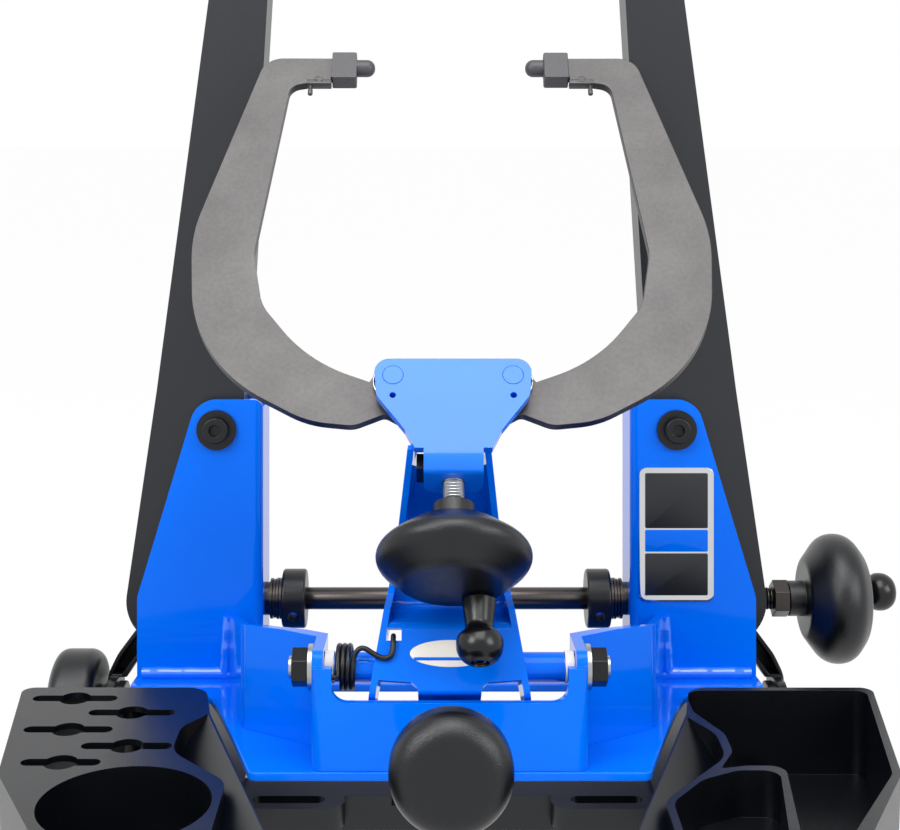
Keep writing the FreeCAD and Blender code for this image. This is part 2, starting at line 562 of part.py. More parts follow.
def upright():
    skin = slab("upright_skin", "XZ", [
        ("upright_in_foot", "upright_foot", "6"), ("upright_in_top", "upright_top", "8"),
        ("upright_out_top", "upright_top", "12"), ("upright_out_mid", "upright_mid"),
        ("upright_out_foot", "upright_foot", "upright_foot_round")], "upright_front", "upright_back")
    inside = slab("upright_inside", "XZ", [
        ("upright_in_foot + 3.2", "upright_foot - 5"), ("upright_in_top + 3", "upright_top + 5"),
        ("upright_out_top - 3.2", "upright_top + 5"), ("upright_out_mid - 3", "upright_mid"),
        ("upright_out_foot - 3", "upright_foot - 5")], "upright_front + thin_sheet", "upright_back + 1")
    rod_slot = block("upright_rod_slot", ("105", "150"), ("rod_y - 7.5", "rod_y + 7.5"), ("10", "rod_z + 9"))
    nut_slot = block("upright_nut_slot", ("150", "190"), ("rod_y - 10.6", "rod_y + 11"), ("10", "rod_z + 14"))
    pin_slot = block("upright_pin_slot", ("nut_x - 4.9", "nut_x + 4.9"), ("0", "12"),
                     ("rod_z - 9.2", "rod_z + 6"))
    bolt = pin("upright_bolt_hole", "pivot_radius + 0.2", "0", "60", "pivot_x", "pivot_z", ALONG_Y)
    seat = pin("axle_round", "axle_radius + 1", "-5", "60", "axle_x", "axle_z", ALONG_Y)
    mouth = block("axle_mouth", ("axle_x - axle_radius - 1", "axle_x + axle_radius + 1"), ("-5", "60"),
                  ("axle_z", "upright_top + 5"))
    right = remove("right_upright", skin, inside, rod_slot, nut_slot, pin_slot, bolt, seat, mouth)
    piece("right_upright", right, LEAN)
    piece("left_upright", mirrored("left_upright", right))
    jaw = slab("jaw_plate", "XZ", [
        ("axle_x - 11", "axle_z - 16", "3"), ("axle_x - 11", "upright_top - 1", "3"),
        ("axle_x + 11", "upright_top - 1", "3"), ("axle_x + 11", "axle_z - 16", "3")],
        "upright_front - 3", "upright_front - 0.02")
    round_seat = pin("jaw_round", "axle_radius", "-5", "60", "axle_x", "axle_z", ALONG_Y)
    gap = block("jaw_mouth", ("axle_x - axle_radius", "axle_x + axle_radius"), ("-5", "60"),
                ("axle_z", "upright_top + 5"))
    right_jaw = remove("right_axle_jaw", jaw, round_seat, gap)
    piece("right_axle_jaw", right_jaw, LEAN)
    piece("left_axle_jaw", mirrored("left_axle_jaw", right_jaw))


def width_drive():
    home = LEAN.multiply(Placement(Vector(0, val("rod_y"), val("rod_z")), ALONG_X))
    rod = turned("width_rod", [
        ("0", "rod_left"), ("rod_radius", "rod_left", "1"), ("rod_radius", "rod_right"), ("0", "rod_right")])
    piece("width_rod", rod, home)
    collar = turned("collar_one", [
        ("rod_radius + 0.05", "collar_start"), ("collar_radius", "collar_start", "1.5"),
        ("collar_radius", "collar_end", "1.5"), ("rod_radius + 0.05", "collar_end")])
    other = turned("collar_two", [
        ("rod_radius + 0.05", "-collar_end"), ("collar_radius", "-collar_end", "1.5"),
        ("collar_radius", "-collar_start", "1.5"), ("rod_radius + 0.05", "-collar_start")])
    bore = join("collar_bores", pin("collar_bore_one", "3.05", "5", "30", "-83", "0"),
                pin("collar_bore_two", "3.05", "5", "30", "83", "0"))
    to_front = Rotation(Vector(1, 0, 0), 117)
    bore.Placement = Placement(Vector(), Rotation(Vector(0, 1, 0), -90).multiply(to_front))
    collars = remove("shaft_collars", join("collar_pair", collar, other), bore)
    piece("shaft_collars", collars, home)
    sets = join("collar_set_screws", pin("set_one", "3", "6.1", "13", "-83", "0"),
                pin("set_two", "3", "6.1", "13", "83", "0"))
    turn = Placement(Vector(0, val("rod_y"), val("rod_z")), to_front)
    piece("collar_set_screws", sets, LEAN.multiply(turn))
    ring = turned("ring_one", [
        ("rod_radius + 0.3", "collar_end + 0.05"), ("ring_radius", "collar_end + 0.05", "1"),
        ("ring_radius", "ring_end", "1"), ("9", "ring_end"), ("9", "tower_inside - 0.1"),
        ("rod_radius + 0.3", "tower_inside - 0.1")])
    ring.Placement = Placement(Vector(0, val("rod_y"), val("rod_z")), ALONG_X)
    piece("thrust_washers", both_sides("thrust_washers", ring), LEAN)
    trunnion_nuts()
    nut = DOC.addObject("Part::Prism", "wheel_nut")
    nut.Polygon = 6
    nut.Circumradius = 10.2
    nut.Height = 8
    nut.Placement = Placement(Vector(0, 0, val("wheel_hub_start") - 8.1), FLAT)
    hole = pin("wheel_nut_hole", "rod_radius + 0.05", "170", "195")
    piece("handwheel_nut", remove("handwheel_nut", nut, hole), home)
    wheel = turned("handwheel", knob_profile(
        "rod_radius", "wheel_hub_radius", "wheel_radius", "wheel_hub_start", "wheel_start", "wheel_end",
        "rod_right + 0.3"))
    piece("handwheel", bored_for_grip(wheel, "handwheel", "wheel_end", "0", "17"), home)
    spot = Placement(Vector(0, 17, val("wheel_end") - 0.6), FLAT)
    piece("handwheel_grip", ball_grip("handwheel_grip", "3"), home.multiply(spot))


def knob_profile(bore, hub_radius, radius, hub_start, start, end, bottom):
    """Half profile of a lens shaped knob on a shaft that ends inside it."""
    return [
        (bore + " + 0.05", hub_start), (hub_radius, hub_start, "1"), (hub_radius, start),
        (radius + " - 14", start, "6"), (radius, start + " + 10", "10"), (radius, end + " - 10", "10"),
        (radius + " - 12", end + " - 1", "6"), ("0", end), ("0", bottom), (bore + " + 0.05", bottom)]


def bored_for_grip(wheel, name, face, across, back):
    """Blind hole for the grip's stem at its place on the face of the wheel."""
    hole = pin(name + "_stem_hole", "3.1", "%s - 13" % face, "%s + 2" % face, across, back)
    return remove(name + "_bored", wheel, hole)


def ball_grip(name, neck):
    """Small turning ball on a flared neck; local Z points away from the wheel's face, zero at the face."""
    top = "%s + 19" % neck
    return turned(name, [
        ("0", "-11"), ("3", "-11"), ("3", "0.8"), ("8", "0.8", "0.8"), ("6", "%s + 1.5" % neck, "2"),
        ("6.6", "%s + 3.5" % neck, "1.5"), ("grip_radius", "%s + 7" % neck, "5"),
        ("grip_radius", top + " - 5", "6"), ("5", top, "3"), ("0", top)])


def trunnion_nuts():
    barrel = pin("barrel", "nut_radius", "12", "31", "nut_x", "rod_z", ALONG_Y)
    stem = pin("barrel_pin", "4", "6.3", "12.5", "nut_x", "rod_z", ALONG_Y)
    hole = pin("barrel_hole", "rod_radius + 0.1", "130", "160", "rod_y", "rod_z", ALONG_X)
    right = remove("right_trunnion_nut", join("barrel_body", barrel, stem), hole)
    piece("right_trunnion_nut", right, LEAN)
    piece("left_trunnion_nut", mirrored("left_trunnion_nut", right))


# ---------------------------------------------------------------- lower arm and head

def lower_arm():
    """Folded sheet: web behind the knob, skirt over the pivot tube, tongue below it and two side walls."""
    fold = slab("arm_fold", "YZ", [
        ("arm_web_front", "98"), ("arm_web_front", "30", "5"), ("arm_skirt_front", "17", "5"),
        ("arm_skirt_front", "-12"), ("arm_skirt_front + thin_sheet", "-12"),
        ("arm_skirt_front + thin_sheet", "15.4", "3"), ("arm_web_front + thin_sheet", "28.4", "8"),
        ("arm_web_front + thin_sheet", "98")], "-60", "60")
    side = slab("arm_side", "YZ", [
        ("arm_web_front + thin_sheet", "-16", "3"), ("arm_skirt_front", "-16", "5"),
        ("arm_skirt_front", "24"), ("-3", "33"), ("-3", "56", "6"), ("-39.3", "89"), ("-39.1", "91.2"),
        ("-22.1", "89.7"), ("-14", "98", "4"), ("arm_web_front + thin_sheet", "98", "3")], "-60", "60")
    taper = slab("arm_taper", "XZ", [
        ("-arm_foot_half", "-40"), ("arm_foot_half", "-40"), ("arm_foot_half", "-16"),
        ("arm_top_half", "98"), ("arm_top_half", "120"), ("-arm_top_half", "120"),
        ("-arm_top_half", "98"), ("-arm_foot_half", "-16")],
        "-60", "30")
    inner = slab("arm_inner", "XZ", [
        ("-arm_foot_half + 3", "-40"), ("arm_foot_half - 3", "-40"), ("arm_foot_half - 3", "-16"),
        ("arm_top_half - 3", "98"), ("arm_top_half - 3", "120"), ("-arm_top_half + 3", "120"),
        ("-arm_top_half + 3", "98"), ("-arm_foot_half + 3", "-16")], "-61", "31")
    corner = slab("skirt_corner", "XZ", [
        ("tongue_half", "-20"), ("tongue_half", "-11.5", "2"), ("tongue_half + 3", "-9"),
        ("arm_foot_half", "-7.6"), ("arm_foot_half + 5", "-20")], "arm_skirt_front - 1",
        "arm_skirt_front + thin_sheet + 0.2")
    web = remove("arm_web", common("arm_web_whole", fold, taper), both_sides("skirt_corners", corner))
    sides = common("arm_sides", side, remove("arm_walls", taper, inner))
    tongue = slab("arm_tongue", "YZ", [
        ("arm_skirt_front", "-11"), ("arm_web_front + thin_sheet", "-11", "3"),
        ("arm_web_front + thin_sheet", "-32"), ("arm_web_front", "-32"), ("arm_web_front", "-14", "1"),
        ("arm_skirt_front", "-14", "2")], "-tongue_half", "tongue_half")
    hole = pin("arm_tube_hole", "arm_tube_radius + 0.02", "-60", "60", "0", "0", ALONG_X)
    spring_slot = block("spring_slot", ("-28.2", "-21.5"), ("-20", "0"), ("9.5", "15"))
    body = join("arm_body", web, sides, tongue)
    return piece("lower_arm", remove("lower_arm", body, hole, spring_slot), arm_frame())


def pivot_tube():
    tube = pin("tube_bar", "arm_tube_radius", "-arm_tube_half", "arm_tube_half", "0", "0", ALONG_X)
    bore = pin("tube_bore", "arm_pin_radius + 0.15", "-60", "60", "0", "0", ALONG_X)
    return piece("arm_pivot_tube", remove("arm_pivot_tube", tube, bore), arm_frame())


def head_bracket():
    plate = slab("head_face", "XZ", [
        ("-head_foot_half", "0"), ("head_foot_half", "0"), ("22", "9", "6"), ("head_half - 1.5", "27", "9"),
        ("head_half", "head_top", "7"), ("-head_half", "head_top", "7"), ("-head_half + 1.5", "27", "9"),
        ("-22", "9", "6")], "0", "head_plate")
    rivets = [pin("head_rivet_hole", "rivet_head + 0.1", "-5", "12", x, "rivet_z", ALONG_Y)
              for x in ("-rivet_half", "rivet_half")]
    small = [pin("head_small_hole", "1.5", "-5", "12", x, "rivet_z - 10.5", ALONG_Y)
             for x in ("-rivet_half", "rivet_half")]
    # band and tongue, side view across X: the band drops plumb, the tongue runs square to the screw
    fold = slab("head_fold", "YZ", [
        ("0", "1"), ("head_plate", "1"), ("9.6", "-5.1"), ("24.2", "-6.3"), ("24.4", "-11.3", "1"),
        ("5.5", "-9.9", "4"), ("0", "-1")], "-band_half", "band_half")
    to_screw = head_frame().inverse().multiply(screw_frame())
    hole = pin("tongue_hole", "screw_radius + 0.15", "-20", "20")
    corner = slab("tongue_corner", "XY", [("14", "-2.5"), ("14", "-14"), ("4", "-14"), ("11.5", "-7", "6")],
                  "-4", "6")
    cuts = join("tongue_cuts", hole, both_sides("tongue_corners", corner))
    cuts.Placement = to_screw
    body = remove("head_bracket", join("head_body", plate, fold), cuts, *(rivets + small))
    return piece("head_bracket", body, head_frame())


def head_rivets():
    rivet = turned("rivet", [
        ("0", "-0.2"), ("rivet_head", "-0.2", "0.3"), ("rivet_head", "head_plate + 0.2"),
        ("rivet_radius", "head_plate + 0.2"), ("rivet_radius", "finger_back + 0.1"),
        ("rivet_head", "finger_back + 0.1"),
        ("4", "finger_back + 2.1"), ("0", "finger_back + 2.1")])
    rivet.Placement = Placement(Vector(val("rivet_half"), 0, val("rivet_z")), ALONG_Y)
    piece("head_rivets", both_sides("head_rivets", rivet), head_frame())
    spring = turned("finger_spring", [
        ("spring_ring - 2", "head_plate + 0.2"), ("spring_ring", "head_plate + 0.2", "0.8"),
        ("spring_ring", "finger_front - 0.2", "0.8"), ("spring_ring - 2", "finger_front - 0.2")])
    spring.Placement = Placement(Vector(val("rivet_half"), 0, val("rivet_z")), ALONG_Y)
    piece("finger_springs", both_sides("finger_springs", spring), head_frame())


def fingers():
    blade = slab("finger_blade", "XZ", [
        ("53", "235"), ("98.4", "235.2", "12"), ("129.2", "121.4", "82"), ("122.8", "49", "75"),
        ("67.4", "17.9", "45"), ("45.8", "15.6", "13"), ("31.5", "21.7", "4"), ("15", "12", "4"),
        ("3", "14.5", "4"), ("4", "27", "4"), ("18", "45", "7"), ("28", "46.5", "6"), ("36", "43.5", "3"),
        ("39", "38.5"), ("68", "49.5", "75"), ("91.9", "80.6", "24"), ("97.5", "110.1", "23.5"),
        ("84.6", "216.5", "7"), ("63.4", "220.5"), ("63.4", "222.4"), ("53", "222.4")],
        "finger_front", "finger_back")
    rivet = pin("finger_rivet_hole", "rivet_radius + 0.1", "0", "20", "rivet_half", "rivet_z", ALONG_Y)
    hole = pin("finger_pin_hole", "2", "0", "20", "8", "22", ALONG_Y)
    shape = remove("finger_shape", blade, rivet, hole)
    piece("right_finger", join_alone("right_finger", shape), head_frame())
    piece("left_finger", mirrored("left_finger", shape), head_frame())
    for side, x in (("right", 8), ("left", -8)):
        name = side + "_follower_pin"
        follower = turned(name, [
            ("0", "finger_front + 0.4"), ("1.95", "finger_front + 0.4"), ("1.95", "finger_back + 0.05"),
            ("3", "finger_back + 0.05"), ("3", "21", "0.6"), ("0", "21")])
        piece(name, follower, head_frame().multiply(Placement(Vector(x, 0, 22), ALONG_Y)))
    tip_caps()


def join_alone(name, shape):
    """Copy of one shape under its own placement."""
    made = DOC.addObject("Part::Mirroring", name)
    made.Source = mirrored(name + "_back", shape)
    made.Normal = Vector(1, 0, 0)
    return made


def tip_caps():
    box = slab("cap_body", "XZ", [
        ("62.9", "237.5", "0.8"), ("49.8", "237.5", "1.2"), ("49.8", "220.4", "1.2"),
        ("62.9", "220.4", "0.8")],
        "finger_front - 2.2", "finger_back + 2.2")
    nub = turned("cap_nub", [("0", "40.1"), ("4.6", "40.1", "4.3"), ("4.6", "50.5"), ("0", "50.5")])
    nub.Placement = Placement(Vector(0, 11.5, 230.1), ALONG_X)
    inside = slab("cap_inside", "XZ", [
        ("52.9", "235.1"), ("80", "235.1"), ("80", "222.3"), ("52.9", "222.3")], "finger_front - 0.05",
        "finger_back + 0.05")
    shape = remove("cap_shape", join("cap_all", box, nub), inside)
    piece("right_tip_cap", join_alone("right_tip_cap", shape), head_frame())
    piece("left_tip_cap", mirrored("left_tip_cap", shape), head_frame())


def caliper_drive():
    # in the screw's own axes: Z out of the stand, Y up and back; the wedge points inward
    home = screw_frame()
    wedge = slab("wedge_plate", "XZ", [
        ("-10.4", "-17.4"), ("10.4", "-17.4"), ("9.3", "-19.6"), ("1.8", "-36.5", "1.2"),
        ("-1.8", "-36.5", "1.2"), ("-9.3", "-19.6")], "-5.4", "-0.1")
    piece("caliper_wedge", wedge, home)
    screw = turned("caliper_screw", [
        ("0", "-17.2"), ("screw_radius - 1", "-17.2"), ("screw_radius", "-16"), ("screw_radius", "27"),
        ("0", "27")])
    piece("caliper_screw", screw, home)
    block_body = block("caliper_nut_block", ("-head_x - 14.9", "14.9 - head_x"), ("-9", "4.5"),
                       ("-11", "-3.4"))
    nut_bore = pin("caliper_nut_bore", "screw_radius + 0.1", "-20", "5")
    piece("caliper_nut", remove("caliper_nut", block_body, nut_bore), home)
    knob = turned("caliper_knob", knob_profile(
        "screw_radius", "9.5", "knob_radius", "caliper_out - knob_half - 6", "caliper_out - knob_half",
        "caliper_out + knob_half", "27.3"))
    piece("caliper_knob", bored_for_grip(knob, "caliper", "caliper_out + knob_half", "11", "-12.8"), home)
    spot = Placement(Vector(11, -12.8, val("caliper_out + knob_half") - 0.6), FLAT)
    piece("caliper_grip", ball_grip("caliper_grip", "11"), home.multiply(spot))


def radial_drive():
    out = Rotation(Vector(1, 0, 0), 90)
    home = LEAN.multiply(Placement(Vector(0, 0, val("radial_z")), out))
    pad = turned("radial_pad", [
        ("0", "-pad_back"), ("3", "-pad_back", "1"), ("pad_radius", "-pad_back + 3", "1.5"),
        ("pad_radius", "-pad_front", "1"), ("0", "-pad_front")])
    piece("radial_pad", pad, home)
    screw = turned("radial_screw", [
        ("0", "-pad_front + 0.1"), ("screw_radius", "-pad_front + 0.1"), ("screw_radius", "-radial_y - 2"),
        ("0", "-radial_y - 2")])
    piece("radial_screw", screw, home)
    knob = turned("radial_knob", [
        ("screw_radius + 0.05", "-radial_y - radial_half - 4"), ("9.5", "-radial_y - radial_half - 4", "1"),
        ("9.5", "-radial_y - radial_half"), ("radial_radius - 3", "-radial_y - radial_half", "1.5"),
        ("radial_radius", "-radial_y - radial_half + 4", "4"),
        ("radial_radius", "-radial_y + radial_half - 6", "6"),
        ("radial_radius - 7", "-radial_y + radial_half - 0.8", "4"), ("0", "-radial_y + radial_half"),
        ("0", "-radial_y - 1.7"), ("screw_radius + 0.05", "-radial_y - 1.7")])
    piece("radial_knob", knob, home)


def build():
    base_frame()
    left_tray()
    right_tray()
    base_small()
    tilt_bracket()
    tilt_bolt_and_knob()
    floor_plate()
    tilt_arms()
    towers()
    cradle()
    pivot_hardware()
    arm_pivot()
    arm_spring()
    name_plate()
    upright()
    width_drive()
    lower_arm()
    pivot_tube()
    head_bracket()
    head_rivets()
    fingers()
    caliper_drive()
    radial_drive()


def check_and_write():
    DOC.recompute()
    for obj in DOC.Objects:
        if "Invalid" in obj.State or "Error" in obj.State:
            raise RuntimeError("%s is %s" % (obj.Label, obj.State))
    os.makedirs("parts", exist_ok=True)
    for name, obj in PIECES:
        if obj.Shape.isNull() or not obj.Shape.isValid():
            raise RuntimeError("bad shape in " + name)
        obj.Shape.exportStep("parts/%s.step" % name)
        box = obj.Shape.BoundBox
        print("%-22s solids %d  x %7.1f %7.1f  y %7.1f %7.1f  z %7.1f %7.1f" % (
            name, len(obj.Shape.Solids), box.XMin, box.XMax, box.YMin, box.YMax, box.ZMin, box.ZMax))


build()
check_and_write()
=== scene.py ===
import json
import math

import bpy
from mathutils import Matrix, Vector


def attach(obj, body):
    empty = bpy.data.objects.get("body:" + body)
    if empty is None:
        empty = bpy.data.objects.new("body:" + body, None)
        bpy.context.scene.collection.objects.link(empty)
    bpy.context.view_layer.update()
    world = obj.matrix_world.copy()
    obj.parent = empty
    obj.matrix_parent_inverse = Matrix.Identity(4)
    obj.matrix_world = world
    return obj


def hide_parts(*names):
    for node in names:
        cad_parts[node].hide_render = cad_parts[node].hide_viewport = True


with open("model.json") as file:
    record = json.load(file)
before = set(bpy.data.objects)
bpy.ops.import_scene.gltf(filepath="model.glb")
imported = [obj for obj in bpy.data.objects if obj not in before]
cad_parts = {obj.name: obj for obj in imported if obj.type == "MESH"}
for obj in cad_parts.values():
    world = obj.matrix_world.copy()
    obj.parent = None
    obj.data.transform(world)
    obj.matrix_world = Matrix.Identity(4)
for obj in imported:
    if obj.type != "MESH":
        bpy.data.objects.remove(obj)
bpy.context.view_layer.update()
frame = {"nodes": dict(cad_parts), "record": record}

nodes = frame["nodes"]


# where things are, metres: the leaning frame and what hangs on it

lean = {"angle": -6, "pin": (0, 0.036, -0.023), "pinOnBase": (0, 0.1016, 0.032)}


def turn(degrees, axis):
    return Matrix.Rotation(math.radians(degrees), 4, axis)


def shift(x, y, z):
    return Matrix.Translation((x, y, z))


framePlace = (shift(*lean["pinOnBase"]) @ turn(lean["angle"], "X")
              @ Matrix.Translation(-Vector(lean["pin"])))
armPlace = framePlace @ shift(0, -0.137, 0.041) @ turn(-27, "X")
headPlace = framePlace @ shift(0.0019, -0.1367, 0.1396) @ turn(-33, "X")
screwPlace = framePlace @ shift(0.0019, -0.1286, 0.124) @ turn(144, "X")
radialPlace = framePlace @ shift(0, 0, 0.015) @ turn(90, "X")
rodPlace = framePlace @ shift(0, 0.021, 0.038) @ turn(90, "Y")
tiltPlace = shift(-0.189, 0.1016, 0.032) @ turn(-90, "Y")


# small workshop helpers

def deselectAll():
    if bpy.context.object and bpy.context.object.mode != "OBJECT":
        bpy.ops.object.mode_set(mode="OBJECT")
    bpy.ops.object.select_all(action="DESELECT")


def pick(obj):
    deselectAll()
    obj.select_set(True)
    bpy.context.view_layer.objects.active = obj


def named(obj, name):
    obj.name = name
    obj.data.name = name
    return obj


def settle(obj, place=Matrix.Identity(4)):
    pick(obj)
    obj.matrix_world = place @ obj.matrix_world
    bpy.ops.object.transform_apply(location=True, rotation=True, scale=True)


def smoothByAngle(obj, degrees=35):
    pick(obj)
    bpy.ops.object.shade_smooth_by_angle(angle=math.radians(degrees))


def bevelled(obj, width, segments=2, angle=32):
    pick(obj)
    edge = obj.modifiers.new("edge", "BEVEL")
    edge.width = width
    edge.segments = segments
    edge.limit_method = "ANGLE"
    edge.angle_limit = math.radians(angle)
    edge.use_clamp_overlap = True
    bpy.ops.object.modifier_apply(modifier=edge.name)


def evenNormals(obj):
    # flat faces stay flat beside their rounded edges
    pick(obj)
    even = obj.modifiers.new("even", "WEIGHTED_NORMAL")
    even.keep_sharp = True
    even.weight = 80
    bpy.ops.object.modifier_apply(modifier=even.name)


def recalcNormals(obj):
    pick(obj)
    bpy.ops.object.mode_set(mode="EDIT")
    bpy.ops.mesh.select_all(action="SELECT")
    bpy.ops.mesh.remove_doubles(threshold=1e-6)
    bpy.ops.mesh.normals_make_consistent(inside=False)
    bpy.ops.object.mode_set(mode="OBJECT")


def turnedCopy(obj, name, place):
    # the same piece again with its own mesh, turned or moved by place
    pick(obj)
    bpy.ops.object.duplicate()
    other = named(bpy.context.object, name)
    settle(other, place)
    return other


def joined(name, pieces):
    deselectAll()
    for piece in pieces:
        piece.select_set(True)
    bpy.context.view_layer.objects.active = pieces[0]
    if len(pieces) > 1:
        bpy.ops.object.join()
    return named(bpy.context.object, name)


def nodeBody(nodeName):
    for body, members in frame["record"]["behaviour"]["bodies"].items():
        if nodeName in members:
            return body


def nodeSlot(nodeName):
    for row in frame["record"]["subparts"]:
        if row["node"] == nodeName:
            return row["material_slot"]


def finishPiece(obj, body, slotName, *replaced):
    obj.data.materials.clear()
    obj.data.materials.append(finishes[slotName])
    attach(obj, body)
    if replaced:
        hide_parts(*replaced)


def dressed(nodeName, pieceName, width, segments=2):
    # a copy of the CAD solid with its edges rounded, standing in for it
    pick(nodes[nodeName])
    bpy.ops.object.duplicate()
    obj = named(bpy.context.object, pieceName)
    bpy.ops.object.mode_set(mode="EDIT")
    bpy.ops.mesh.select_all(action="SELECT")
    bpy.ops.mesh.remove_doubles(threshold=2e-6)
    bpy.ops.mesh.dissolve_limited(angle_limit=math.radians(0.6))
    bpy.ops.object.mode_set(mode="OBJECT")
    bevelled(obj, width, segments)
    smoothByAngle(obj, 40)
    evenNormals(obj)
    finishPiece(obj, nodeBody(nodeName), nodeSlot(nodeName), nodeName)
    return obj


def ringStack(name, rings, sides=64):
    # a disc pulled up ring by ring: each ring is (radius, height)
    deselectAll()
    nowRadius, nowHeight = rings[0]
    bpy.ops.mesh.primitive_circle_add(vertices=sides, radius=nowRadius, fill_type="NGON",
                                      location=(0, 0, nowHeight))
    obj = named(bpy.context.object, name)
    bpy.ops.object.mode_set(mode="EDIT")
    bpy.ops.mesh.select_all(action="SELECT")
    for radius, height in rings[1:]:
        bpy.ops.mesh.extrude_region_move(TRANSFORM_OT_translate={"value": (0, 0, height - nowHeight)})
        bpy.ops.transform.resize(value=(radius / nowRadius, radius / nowRadius, 1),
                                 center_override=(0, 0, height))
        nowRadius, nowHeight = radius, height
    bpy.ops.object.mode_set(mode="OBJECT")
    settle(obj)
    recalcNormals(obj)
    return obj


def roundedRings(corners, steps=5):
    # rings along a profile of (radius, height, rounding) corners
    rings = []
    for index, corner in enumerate(corners):
        here = Vector(corner[:2])
        reach = corner[2] if len(corner) > 2 else 0
        if reach == 0:
            rings.append(tuple(here))
            continue
        before = (Vector(corners[index - 1][:2]) - here).normalized() * reach
        after = (Vector(corners[index + 1][:2]) - here).normalized() * reach
        for step in range(steps + 1):
            share = step / steps
            spot = here + before * (1 - share) ** 2 + after * share ** 2
            rings.append(tuple(spot))
    return rings


def threadRings(radius, start, end, pitch, depth):
    rings = []
    for turnNumber in range(int((end - start) / pitch)):
        foot = start + turnNumber * pitch
        rings += [(radius - depth, foot), (radius, foot + pitch * 0.4), (radius, foot + pitch * 0.6)]
    rings.append((radius - depth, rings[-1][1] + pitch * 0.4))
    return rings


def wirePath(name, points, radius, swell=None):
    deselectAll()
    bpy.ops.curve.primitive_nurbs_path_add()
    path = bpy.context.object
    path.name = name
    spline = path.data.splines[0]
    if len(points) > len(spline.points):
        spline.points.add(len(points) - len(spline.points))
    for index, place in enumerate(points):
        spline.points[index].co = (*place, 1)
        if swell:
            spline.points[index].radius = swell(index)
    spline.order_u = 3
    spline.use_endpoint_u = True
    spline.resolution_u = 6
    path.data.bevel_depth = radius
    path.data.bevel_resolution = 3
    path.data.use_fill_caps = True
    bpy.ops.object.convert(target="MESH")
    named(bpy.context.object, name)
    recalcNormals(bpy.context.object)
    return bpy.context.object


def coilPoints(radius, start, pitch, turns, perTurn=16):
    # a coil about X that starts on the -Y side and first climbs
    points = []
    for step in range(perTurn * turns + 1):
        angle = 2 * math.pi * step / perTurn
        points.append((start + pitch * step / perTurn, -radius * math.cos(angle), radius * math.sin(angle)))
    return points


def srgb(red, green, blue):
    def linear(value):
        value = value / 255
        return value / 12.92 if value <= 0.04045 else ((value + 0.055) / 1.055) ** 2.4
    return (linear(red), linear(green), linear(blue), 1)


# finishes

finishLooks = {
    "blue_paint": {"color": (0, 103, 228), "roughness": 0.5, "specular": 0.0, "coat": 1.0,
                   "coatRoughness": 0.06, "coatIor": 1.22, "grain": 420, "relief": 0.012, "mottle": 0.03},
    "black_paint": {"color": (20, 23, 29), "roughness": 0.34, "grain": 2400, "relief": 0.08, "speckle": 0.35},
    "black_plastic": {"color": (7, 10, 16), "roughness": 0.28, "specular": 0.45, "grain": 2200,
                      "relief": 0.2, "speckle": 0.5},
    "grip_plastic": {"color": (6, 7, 10), "roughness": 0.26, "specular": 0.4, "grain": 900, "relief": 0.02},
    "bright_steel": {"color": (176, 178, 182), "roughness": 0.28, "metal": 1.0, "grain": 1500,
                     "relief": 0.03},
    "dark_steel": {"color": (76, 72, 70), "roughness": 0.3, "metal": 1.0, "grain": 900, "relief": 0.03},
    "brass": {"color": (190, 165, 110), "roughness": 0.3, "metal": 1.0, "grain": 900, "relief": 0.03},
    "black_rubber": {"color": (58, 58, 61), "roughness": 0.45, "grain": 1500, "relief": 0.08},
    "white_nylon": {"color": (225, 222, 214), "roughness": 0.5, "grain": 900, "relief": 0.03},
    "bead_gloss": {"color": (0, 108, 232), "roughness": 0.45, "specular": 0.1, "coat": 1.0,
                   "coatRoughness": 0.03, "coatIor": 1.7, "grain": 260, "relief": 0.05},
    "head_gloss": {"color": (0, 106, 230), "roughness": 0.45, "specular": 0.15, "coat": 1.0,
                   "coatRoughness": 0.1, "coatIor": 1.42, "grain": 420, "relief": 0.012},
    # darker finish for the edge faces of the fingers: painted shade
    "finger_edge_shade": {"color": (26, 26, 30), "roughness": 0.4, "metal": 0.4, "grain": 900, "relief": 0.03},
    "plate_chrome": {"color": (205, 208, 212), "roughness": 0.12, "metal": 1.0, "grain": 500,
                     "relief": 0.01},
    "finger_steel": {"color": (78, 76, 76), "roughness": 0.40, "metal": 0.55, "grain": 500,
                     "relief": 0.03, "mottle": 0.16, "cloud": 30, "speckle": 0.12},
    "black_steel": {"color": (12, 14, 18), "roughness": 0.3, "specular": 0.35, "grain": 1800,
                    "relief": 0.06},
}


def spread(base, amount):
    low = [channel * (1 - amount) for channel in base[:3]] + [1]
    high = [min(channel * (1 + amount), 1) for channel in base[:3]] + [1]
    return low, high


def noiseRamp(tree, coords, scale, detail, colors, stops):
    cloud = tree.nodes.new("ShaderNodeTexNoise")
    cloud.inputs["Scale"].default_value = scale
    cloud.inputs["Detail"].default_value = detail
    tree.links.new(coords.outputs["Object"], cloud.inputs["Vector"])
    ramp = tree.nodes.new("ShaderNodeValToRGB")
    for element, color, stop in zip(ramp.color_ramp.elements, colors, stops):
        element.color = color
        element.position = stop
    tree.links.new(cloud.outputs["Fac"], ramp.inputs["Fac"])
    return ramp.outputs["Color"]


